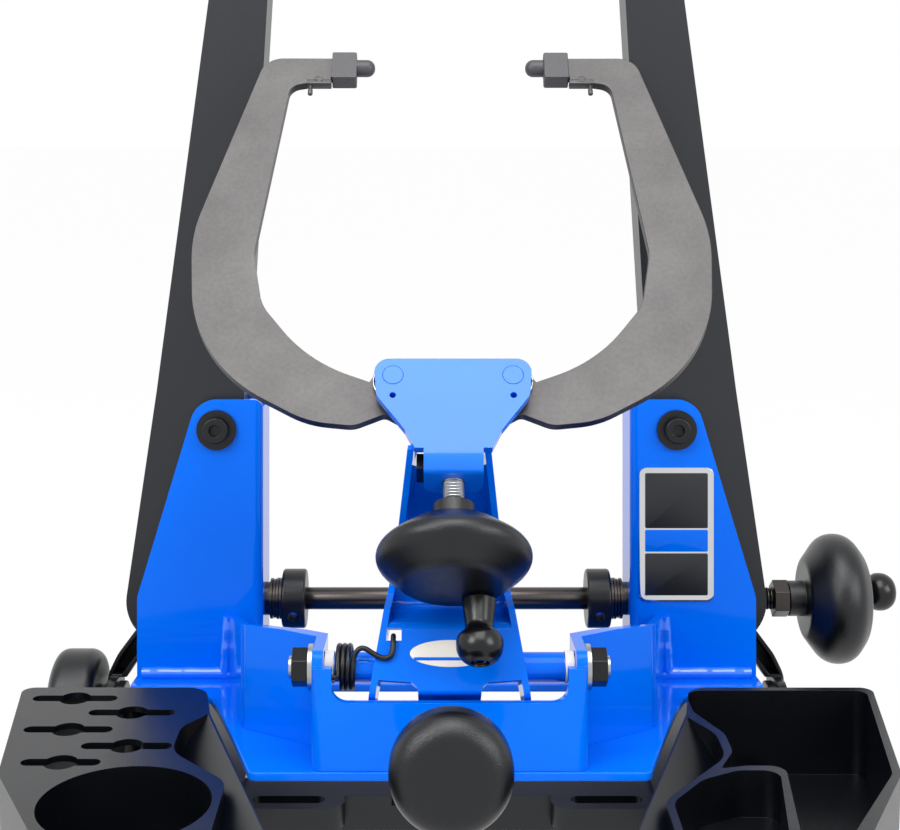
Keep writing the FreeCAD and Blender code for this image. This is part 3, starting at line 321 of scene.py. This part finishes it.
def makeFinish(name, look):
    mat = bpy.data.materials.new(name)
    mat.use_nodes = True
    tree = mat.node_tree
    shader = tree.nodes["Principled BSDF"]
    base = srgb(*look["color"])
    shader.inputs["Roughness"].default_value = look["roughness"]
    shader.inputs["Metallic"].default_value = look.get("metal", 0.0)
    shader.inputs["Coat Weight"].default_value = look.get("coat", 0.0)
    shader.inputs["Coat Roughness"].default_value = look.get("coatRoughness", 0.12)
    shader.inputs["Coat IOR"].default_value = look.get("coatIor", 1.5)
    shader.inputs["Specular IOR Level"].default_value = look.get("specular", 0.5)
    coords = tree.nodes.new("ShaderNodeTexCoord")
    shades = spread(base, look.get("mottle", 0.06))
    color = noiseRamp(tree, coords, look.get("cloud", 14), 4, shades, (0.3, 0.7))
    if "speckle" in look:  # the fine grain also shows as lighter and darker specks
        specks = noiseRamp(tree, coords, look["grain"], 2, spread((1, 1, 1), look["speckle"]), (0.35, 0.65))
        blend = tree.nodes.new("ShaderNodeMixRGB")
        blend.blend_type = "MULTIPLY"
        blend.inputs["Fac"].default_value = 1
        tree.links.new(color, blend.inputs["Color1"])
        tree.links.new(specks, blend.inputs["Color2"])
        color = blend.outputs["Color"]
    tree.links.new(color, shader.inputs["Base Color"])
    grain = tree.nodes.new("ShaderNodeTexNoise")
    grain.inputs["Scale"].default_value = look["grain"]
    grain.inputs["Detail"].default_value = 2
    bump = tree.nodes.new("ShaderNodeBump")
    bump.inputs["Strength"].default_value = look["relief"]
    bump.inputs["Distance"].default_value = 0.001
    tree.links.new(coords.outputs["Object"], grain.inputs["Vector"])
    tree.links.new(grain.outputs["Fac"], bump.inputs["Height"])
    tree.links.new(bump.outputs["Normal"], shader.inputs["Normal"])
    return mat


finishes = {name: makeFinish(name, look) for name, look in finishLooks.items()}
print("finishes made")


# camera, light and floor

cameraView = {"place": (-0.008, -0.7536, 0.3712), "tilt": 84, "lens": 63.4, "shift": (0.0204, -0.1744)}


def makeCamera():
    deselectAll()
    bpy.ops.object.camera_add(location=cameraView["place"], rotation=(math.radians(cameraView["tilt"]), 0, 0))
    camera = bpy.context.object
    camera.data.lens = cameraView["lens"]
    camera.data.sensor_width = 36
    camera.data.sensor_fit = "HORIZONTAL"
    camera.data.shift_x, camera.data.shift_y = cameraView["shift"]
    camera.data.clip_start = 0.01
    bpy.context.scene.camera = camera
    bpy.context.scene.view_settings.view_transform = "Standard"


studio = {
    "worldLight": 0.55,
    "floorGlow": 0.97,
    "lamps": [
        {"name": "keyLeft", "place": (-1.0, -0.9, 1.1), "aim": (0, 0, 0.2), "size": 0.7, "power": 13},
        {"name": "fillRight", "place": (1.1, -0.8, 0.8), "aim": (0, 0, 0.2), "size": 0.7, "power": 9},
        {"name": "overhead", "place": (0, -0.5, 1.5), "aim": (0, 0, 0.2), "size": 1.1, "power": 18},
    ],
}


def cameraOnly(tree):
    # 1 where the camera looks straight at it or sees it mirrored, else 0
    path = tree.nodes.new("ShaderNodeLightPath")
    glossy = tree.nodes.new("ShaderNodeMath")
    glossy.operation = "MAXIMUM"
    seen = tree.nodes.new("ShaderNodeMath")
    seen.operation = "MAXIMUM"
    tree.links.new(path.outputs["Is Camera Ray"], glossy.inputs[0])
    tree.links.new(path.outputs["Is Glossy Ray"], glossy.inputs[1])
    tree.links.new(glossy.outputs[0], seen.inputs[0])
    tree.links.new(path.outputs["Is Transmission Ray"], seen.inputs[1])
    return seen.outputs[0]


def makeWorld():
    world = bpy.data.worlds.new("studioWorld")
    bpy.context.scene.world = world
    world.use_nodes = True
    tree = world.node_tree
    back = tree.nodes["Background"]
    back.inputs["Color"].default_value = (1, 1, 1, 1)
    level = tree.nodes.new("ShaderNodeMapRange")
    level.inputs["To Min"].default_value = studio["worldLight"]
    level.inputs["To Max"].default_value = 1.0
    tree.links.new(cameraOnly(tree), level.inputs["Value"])
    tree.links.new(level.outputs["Result"], back.inputs["Strength"])


def makeLamps():
    for lamp in studio["lamps"]:
        deselectAll()
        away = Vector(lamp["aim"]) - Vector(lamp["place"])
        bpy.ops.object.light_add(type="AREA", location=lamp["place"],
                                 rotation=away.to_track_quat("-Z", "Y").to_euler())
        light = bpy.context.object
        light.name = lamp["name"]
        light.data.shape = "SQUARE"
        light.data.size = lamp["size"]
        light.data.energy = lamp["power"]


def makeFloor():
    deselectAll()
    bpy.ops.mesh.primitive_plane_add(size=14, location=(0, 3, -0.0005))
    floor = bpy.context.object
    floor.name = "studioFloor"
    settle(floor)
    mat = bpy.data.materials.new("floorPaper")
    mat.use_nodes = True
    tree = mat.node_tree
    paper = tree.nodes["Principled BSDF"]
    paper.inputs["Base Color"].default_value = (0.9, 0.9, 0.9, 1)
    paper.inputs["Roughness"].default_value = 0.9
    glow = tree.nodes.new("ShaderNodeEmission")
    glow.inputs["Color"].default_value = (1, 1, 1, 1)
    mix = tree.nodes.new("ShaderNodeMixShader")
    share = tree.nodes.new("ShaderNodeMapRange")
    share.inputs["To Max"].default_value = studio["floorGlow"]
    tree.links.new(cameraOnly(tree), share.inputs["Value"])
    tree.links.new(share.outputs["Result"], mix.inputs["Fac"])
    tree.links.new(paper.outputs[0], mix.inputs[1])
    tree.links.new(glow.outputs[0], mix.inputs[2])
    tree.links.new(mix.outputs[0], tree.nodes["Material Output"].inputs["Surface"])
    floor.data.materials.append(mat)


makeCamera()
makeWorld()
makeLamps()
makeFloor()
print("camera and studio set")


# CAD nodes: finish on all, edges rounded where they are seen

roundedEdges = {
    "left_tray": ("leftTray", 0.0026, 4), "right_tray": ("rightTray", 0.0026, 4),
    "left_tower": ("leftTower", 0.0012, 3), "right_tower": ("rightTower", 0.0012, 3),
    "cradle": ("armCradle", 0.0012, 3), "floor_plate": ("floorPlate", 0.0008, 2),
    "left_tilt_arm": ("leftTiltArm", 0.0006, 2), "right_tilt_arm": ("rightTiltArm", 0.0006, 2),
    "left_upright": ("leftUpright", 0.0012, 3), "right_upright": ("rightUpright", 0.0012, 3),
    "left_finger": ("leftFinger", 0.0007, 2), "right_finger": ("rightFinger", 0.0007, 2),
    "lower_arm": ("lowerArm", 0.0009, 3), "head_bracket": ("headBracket", 0.0009, 3),
    "base_frame": ("baseFrame", 0.0015, 2), "left_tip_cap": ("leftTipCap", 0.0008, 2),
    "right_tip_cap": ("rightTipCap", 0.0008, 2),
    "pivot_washers": ("pivotWashers", 0.0004, 2), "upright_pivot_bolts": ("pivotBolts", 0.0004, 2),
    "pivot_nuts": ("pivotNuts", 0.0006, 2), "arm_pivot_nuts": ("armNuts", 0.0008, 2),
    "handwheel_nut": ("handwheelNut", 0.0007, 2), "shaft_collars": ("shaftCollars", 0.0005, 2),
    "tilt_bracket_left": ("tiltBracketLeft", 0.0008, 2),
    "tilt_bracket_right": ("tiltBracketRight", 0.0008, 2),
}


def dressCadNodes():
    for nodeName, node in nodes.items():
        for materialSlot in node.material_slots:
            materialSlot.material = finishes[nodeSlot(nodeName)]
    for nodeName, (pieceName, width, segments) in roundedEdges.items():
        dressed(nodeName, pieceName, width, segments)


def paintEdgeShade(obj, place):
    # a finger's edge faces get a darker finish than its two flat sides: painted shade for the shade these
    # edges are in
    pick(obj)
    obj.data.materials.append(finishes["finger_edge_shade"])
    across = (place.to_3x3() @ Vector((0, 1, 0))).normalized()
    for face in obj.data.polygons:
        if abs(face.normal.dot(across)) < 0.5:
            face.material_index = 1


dressCadNodes()
for fingerName in ("leftFinger", "rightFinger"):
    paintEdgeShade(bpy.data.objects[fingerName], headPlace)
bpy.data.objects["headBracket"].data.materials[0] = finishes["head_gloss"]
nodes["head_rivets"].material_slots[0].material = finishes["head_gloss"]
print("CAD nodes dressed")


# knobs and turning grips

knobEdges = {"hub": 0.0008, "neck": 0.0006, "shoulder": 0.002, "crown": 0.004}  # how far each is rounded
knobSizes = {
    "widthHandwheel": {"half": 0.017, "inner": -0.017, "hub": 0.0096, "hubStart": -0.0258, "shoulder": 0.021,
                       "rim": [(0.035, -0.0065, 0.0068), (0.035, 0.0072, 0.0068)], "crown": 0.023,
                       "place": rodPlace @ shift(0, 0, 0.213), "node": "handwheel"},
    "caliperKnob": {"half": 0.017, "inner": -0.0118, "hub": 0.0095, "hubStart": -0.023, "shoulder": 0.020,
                    "rim": [(0.0388, 0.0022, 0.0105)], "crown": 0.023,
                    "place": screwPlace @ shift(0, 0, 0.036), "node": "caliper_knob"},
    "radialKnob": {"half": 0.0125, "inner": -0.0125, "hub": 0.0095, "hubStart": -0.0165, "shoulder": 0.0225,
                   "rim": [(0.02575, -0.0085, 0.0035), (0.02575, 0.0060, 0.0055)], "crown": 0.0187,
                   "place": radialPlace @ shift(0, 0, 0.204), "node": "radial_knob"},
    "tiltKnob": {"half": 0.014, "inner": -0.014, "hub": 0.0095, "hubStart": -0.0169, "shoulder": 0.025,
                 "rim": [(0.029, -0.010, 0.0035), (0.029, 0.009, 0.0045)], "crown": 0.021,
                 "place": tiltPlace @ shift(0, 0, 0.017), "node": "tilt_knob"},
}


def knobRings(size):
    # hub, sloping inner side, rounded rim and a low dome outside
    half, inner, hub, start = size["half"], size["inner"], size["hub"], size["hubStart"]
    corners = [(hub, start, knobEdges["hub"]), (hub, inner + 0.0002, knobEdges["neck"]),
               (size["shoulder"], inner, knobEdges["shoulder"])]
    corners += size["rim"] + [(size["crown"], half - 0.001, knobEdges["crown"]), (0, half)]
    return [(hub * 0.9, start)] + roundedRings(corners, 10)[:-1] + [(0.0004, half)]


def makeKnobs():
    for name, size in knobSizes.items():
        knob = ringStack(name, knobRings(size), 72)
        settle(knob, size["place"])
        smoothByAngle(knob, 40)
        finishPiece(knob, nodeBody(size["node"]), "black_plastic", size["node"])


gripSizes = {
    "handwheelGrip": {"neck": 0.003, "node": "handwheel_grip",
                      "place": rodPlace @ shift(0, 0.017, 0.2294)},
    "caliperGrip": {"neck": 0.011, "node": "caliper_grip",
                    "place": screwPlace @ shift(0.011, -0.0128, 0.0524)},
}


def gripCorners(neck):
    # from the stem up over the ball, then into the screw's pocket in its end
    top = neck + 0.019
    return [(0.003, -0.011), (0.003, 0.0008), (0.0078, 0.0008, 0.0005), (0.0062, neck + 0.0015, 0.001),
            (0.0066, neck + 0.0035, 0.0009), (0.0104, neck + 0.0068, 0.0028), (0.0104, neck + 0.0138, 0.0032),
            (0.0068, top - 0.001, 0.0024), (0.0042, top - 0.0003, 0.0004), (0.0038, top - 0.0022),
            (0.0034, top - 0.0022), (0.0031, top - 0.0012, 0.0003), (0.0017, top - 0.0011),
            (0.0015, top - 0.003), (0.0002, top - 0.003)]


def makeGrips():
    for name, size in gripSizes.items():
        grip = ringStack(name, roundedRings(gripCorners(size["neck"])), 48)
        settle(grip, size["place"])
        smoothByAngle(grip, 42)
        finishPiece(grip, nodeBody(size["node"]), "grip_plastic", size["node"])


makeKnobs()
makeGrips()
print("knobs and grips turned")


# threaded rods and the washers on the width rod

widthRod = {"radius": 0.006, "left": -0.166, "right": 0.214, "threadFrom": 0.100, "leftThreadTo": 0.1645,
            "rightThreadTo": 0.187, "pitch": 0.00175, "depth": 0.0005, "chamfer": 0.001}
caliperScrew = {"radius": 0.005, "start": -0.0172, "end": 0.027, "pitch": 0.0015, "depth": 0.0005,
                "chamfer": 0.001}
radialScrew = {"radius": 0.005, "start": 0.1507, "end": 0.202, "pitch": 0.0015, "depth": 0.0005,
               "chamfer": 0.001}
washerStack = [  # radius and height of each step up the washers on the right of the rod
    (0.0064, 0.08955), (0.0100, 0.08955), (0.0112, 0.0899), (0.0112, 0.0910), (0.0094, 0.0912),
    (0.0094, 0.0914), (0.0112, 0.0916), (0.0112, 0.0927), (0.0094, 0.0929), (0.0094, 0.0931),
    (0.0106, 0.0933), (0.0106, 0.0943), (0.0092, 0.0945), (0.0092, 0.0947), (0.0110, 0.0949),
    (0.0110, 0.0962), (0.0090, 0.0964), (0.0090, 0.0987), (0.0064, 0.0987)]


def makeWidthRod():
    size = widthRod
    radius, chamfer, threadFrom = size["radius"], size["chamfer"], size["threadFrom"]
    rightThread = threadRings(radius, threadFrom, size["rightThreadTo"], size["pitch"], size["depth"])
    mirrored = threadRings(radius, threadFrom, size["leftThreadTo"], size["pitch"], size["depth"])
    leftThread = [(across, -height) for across, height in reversed(mirrored)]
    rings = [(radius - chamfer, size["left"]), (radius, size["left"] + chamfer)] + leftThread
    rings += [(radius, -threadFrom + chamfer), (radius, threadFrom - chamfer)]
    rings += rightThread + [(radius, size["right"])]
    rod = ringStack("widthRod", rings, 32)
    settle(rod, rodPlace)
    smoothByAngle(rod, 30)
    finishPiece(rod, nodeBody("width_rod"), "dark_steel", "width_rod")


def makeScrew(name, size, place, node):
    radius, start, chamfer = size["radius"], size["start"], size["chamfer"]
    rings = [(radius - chamfer, start)]
    rings += threadRings(radius, start + chamfer, size["end"], size["pitch"], size["depth"])
    screw = ringStack(name, rings, 32)
    settle(screw, place)
    smoothByAngle(screw, 30)
    finishPiece(screw, nodeBody(node), "bright_steel", node)


def makeWashers():
    right = ringStack("washersRight", washerStack, 48)
    left = turnedCopy(right, "washersLeft", turn(180, "X"))
    pair = joined("thrustWashers", [right, left])
    settle(pair, rodPlace)
    smoothByAngle(pair, 30)
    finishPiece(pair, nodeBody("thrust_washers"), "dark_steel", "thrust_washers")


makeWidthRod()
makeScrew("caliperScrew", caliperScrew, screwPlace, "caliper_screw")
makeScrew("radialScrew", radialScrew, radialPlace, "radial_screw")
makeWashers()
print("rods and screws threaded")


# springs: one on the arm pivot, two behind the head plate

springWire = {"wire": 0.0012, "coil": 0.0096, "start": -0.0499, "turns": 3, "pitch": 0.00233}
fingerCoil = {"wire": 0.0005, "coil": 0.0094, "start": 0.0057, "turns": 3, "pitch": 0.0009, "across": 0.0278,
              "up": 0.0373}


def makeArmSpring():
    size = springWire
    end = size["start"] + size["pitch"] * size["turns"]
    side = -size["coil"]
    foot = [(-0.0558, side, -0.0069), (-0.0530, side, -0.0069), (-0.0506, side, -0.0068),
            (-0.0499, side, -0.0062), (-0.0499, side, -0.0040)]
    leg = [(end + 0.0006, side - 0.0010, 0.0032), (end + 0.0026, -0.0116, 0.0056), (-0.0377, -0.0117, 0.0058),
           (-0.0345, -0.0117, 0.0036), (-0.0309, -0.0117, 0.0016), (-0.0278, -0.0117, 0.0011),
           (-0.0258, -0.0117, 0.0026), (-0.0252, -0.0117, 0.0056), (-0.0251, -0.0115, 0.0090),
           (-0.0251, -0.0104, 0.0114), (-0.0251, -0.0084, 0.0121), (-0.0251, -0.0050, 0.0122)]
    coil = coilPoints(size["coil"], size["start"], size["pitch"], size["turns"])
    spring = wirePath("armSpring", foot + coil + leg, size["wire"])
    settle(spring, armPlace)
    smoothByAngle(spring, 60)
    finishPiece(spring, nodeBody("arm_spring"), nodeSlot("arm_spring"), "arm_spring")


def makeFingerSprings():
    size = fingerCoil
    coils = []
    points = coilPoints(size["coil"], size["start"], size["pitch"], size["turns"])
    for side, name in ((1, "coilRight"), (-1, "coilLeft")):
        coil = wirePath(name, points, size["wire"])
        settle(coil, shift(side * size["across"], 0, size["up"]) @ turn(90, "Z"))
        coils.append(coil)
    pair = joined("fingerSprings", coils)
    settle(pair, headPlace)
    smoothByAngle(pair, 60)
    finishPiece(pair, nodeBody("finger_springs"), "bright_steel", "finger_springs")


makeArmSpring()
makeFingerSprings()
print("springs wound")


# bare name plate, arm label, tip clips and weld beads

plateSize = {"low": (0.1032, -0.001, 0.0412), "high": (0.1432, -0.00002, 0.1127), "corner": 0.0038,
             "rimSteps": (0.00135, 0.00165), "pocket": 0.0004, "edge": 0.0003}
fieldSize = {"left": 0.1064, "right": 0.1400, "front": -0.00085, "back": -0.0005, "corner": 0.0008,
             "edge": 0.0001}
plateFields = [  # low and high height of each enamel field, and its finish
    ("upperField", 0.0802, 0.1097, "black_paint"), ("bandField", 0.0676, 0.0793, "blue_paint"),
    ("lowerField", 0.0442, 0.0667, "black_paint")]


def slabPiece(name, low, high, corner):
    # a thin slab lying against the XZ plane with its four corners rounded
    deselectAll()
    middle = [(a + b) / 2 for a, b in zip(low, high)]
    bpy.ops.mesh.primitive_cube_add(size=1, location=middle, scale=[b - a for a, b in zip(low, high)])
    obj = named(bpy.context.object, name)
    settle(obj)
    bpy.ops.object.mode_set(mode="EDIT")
    bpy.ops.mesh.select_mode(type="EDGE")
    bpy.ops.mesh.select_all(action="DESELECT")
    bpy.ops.object.mode_set(mode="OBJECT")
    for edge in obj.data.edges:
        first, second = (obj.data.vertices[index].co for index in edge.vertices)
        edge.select = abs(first.y - second.y) > 1e-6
    bpy.ops.object.mode_set(mode="EDIT")
    bpy.ops.mesh.bevel(offset=corner, segments=6, affect="EDGES")
    bpy.ops.object.mode_set(mode="OBJECT")
    return obj


def pickFrontFace(obj):
    bpy.ops.object.mode_set(mode="EDIT")
    bpy.ops.mesh.select_mode(type="FACE")
    bpy.ops.mesh.select_all(action="DESELECT")
    bpy.ops.object.mode_set(mode="OBJECT")
    front = min(obj.data.polygons, key=lambda face: face.center.y)
    front.select = True
    bpy.ops.object.mode_set(mode="EDIT")


def makeNamePlate():
    size = plateSize
    plate = slabPiece("namePlate", size["low"], size["high"], size["corner"])
    pickFrontFace(plate)
    for rimStep in size["rimSteps"]:
        bpy.ops.mesh.inset(thickness=rimStep)
    bpy.ops.transform.translate(value=(0, size["pocket"], 0))
    bpy.ops.object.mode_set(mode="OBJECT")
    bevelled(plate, size["edge"], 2, 40)
    settle(plate, framePlace)
    smoothByAngle(plate, 40)
    evenNormals(plate)
    finishPiece(plate, nodeBody("name_plate"), "plate_chrome", "name_plate")


def makePlateFields():
    size = fieldSize
    for name, low, high, slotName in plateFields:
        field = slabPiece(name, (size["left"], size["front"], low), (size["right"], size["back"], high),
                          size["corner"])
        bevelled(field, size["edge"], 2, 40)
        settle(field, framePlace)
        smoothByAngle(field, 40)
        finishPiece(field, nodeBody("name_plate"), slotName)


armLabel = {"middle": (0.0003, -0.0100, 0.00375), "half": (0.0180, 0.0060), "round": 0.015,
            "edge": 0.0002, "thick": 0.00018, "bandLow": (-0.0160, -0.01026, 0.0006),
            "bandHigh": (0.0166, -0.0101, 0.0020), "bandCorner": 0.0003}


def makeArmLabel():
    # a round disc first, then stretched to an oval
    size = armLabel
    disc, rim, thick = size["round"], size["round"] - size["edge"], size["thick"]
    label = ringStack("armLabel", [(rim, 0), (disc, thick * 0.5), (rim, thick)], 48)
    stretch = Matrix.Diagonal((size["half"][0] / disc, size["half"][1] / disc, 1, 1))
    settle(label, armPlace @ shift(*size["middle"]) @ turn(90, "X") @ stretch)
    smoothByAngle(label, 30)
    finishPiece(label, nodeBody("lower_arm"), "white_nylon")
    band = slabPiece("labelBand", size["bandLow"], size["bandHigh"], size["bandCorner"])
    settle(band, armPlace)
    finishPiece(band, nodeBody("lower_arm"), "blue_paint")


tipClip = {"low": (0.0631, 0.0087, 0.2178), "high": (0.0760, 0.0136, 0.2206), "corner": 0.0004,
           "stop": (0.0697, 0.0087, 0.2204), "stopRings": [(0.0022, 0), (0.0024, 0.0003), (0.0024, 0.0040)],
           "pin": (0.0741, 0.0106, 0.2115), "pinRings": [(0.0010, 0), (0.0013, 0.0004), (0.0013, 0.0030),
                                                         (0.0011, 0.0032), (0.0011, 0.0068)],
           "edge": 0.0002}


def makeTipClips():
    # the strip that holds each tip cap, with its round stop and its small pin below
    size = tipClip
    strip = slabPiece("clipStrip", size["low"], size["high"], size["corner"])
    stop = ringStack("clipStop", size["stopRings"], 24)
    settle(stop, shift(*size["stop"]) @ turn(-90, "X"))
    pin = ringStack("clipPin", size["pinRings"], 24)
    settle(pin, shift(*size["pin"]))
    right = joined("rightTipClip", [strip, stop, pin])
    left = turnedCopy(right, "leftTipClip", Matrix.Diagonal((-1, 1, 1, 1)))
    for clip, node in ((right, "right_finger"), (left, "left_finger")):
        recalcNormals(clip)
        bevelled(clip, size["edge"], 2, 40)
        settle(clip, headPlace)
        smoothByAngle(clip, 40)
        finishPiece(clip, nodeBody(node), "finger_steel")


beadLines = {  # along the frame's seams, in the frame's own axes
    "beadUp": {"start": (0.1186, -0.0008, 0.0020), "end": (0.1166, -0.0008, 0.0330), "radius": 0.0035},
    "beadFoot": {"start": (0.1160, -0.0004, 0.0022), "end": (0.1630, -0.0004, 0.0022), "radius": 0.0038},
}
beadWave = {"steps": 14, "swell": 0.05, "pace": 1.3}  # how a bead thickens and thins along its line


def beadSwell(index):
    return 1.0 + beadWave["swell"] * math.sin(index * beadWave["pace"])


def makeWeldBeads():
    beads = []
    steps = beadWave["steps"]
    for name, line in beadLines.items():
        start, end = Vector(line["start"]), Vector(line["end"])
        points = [tuple(start.lerp(end, step / steps)) for step in range(steps + 1)]
        bead = wirePath(name, points, line["radius"], swell=beadSwell)
        beads.append(bead)
        beads.append(turnedCopy(bead, name + "Left", Matrix.Diagonal((-1, 1, 1, 1))))
    pair = joined("weldBeads", beads)
    recalcNormals(pair)
    settle(pair, framePlace)
    smoothByAngle(pair, 60)
    finishPiece(pair, nodeBody("left_tower"), "blue_paint")
    pair.data.materials[0] = finishes["bead_gloss"]


makeNamePlate()
makePlateFields()
makeArmLabel()
makeTipClips()
makeWeldBeads()
print("plate, label and beads set")
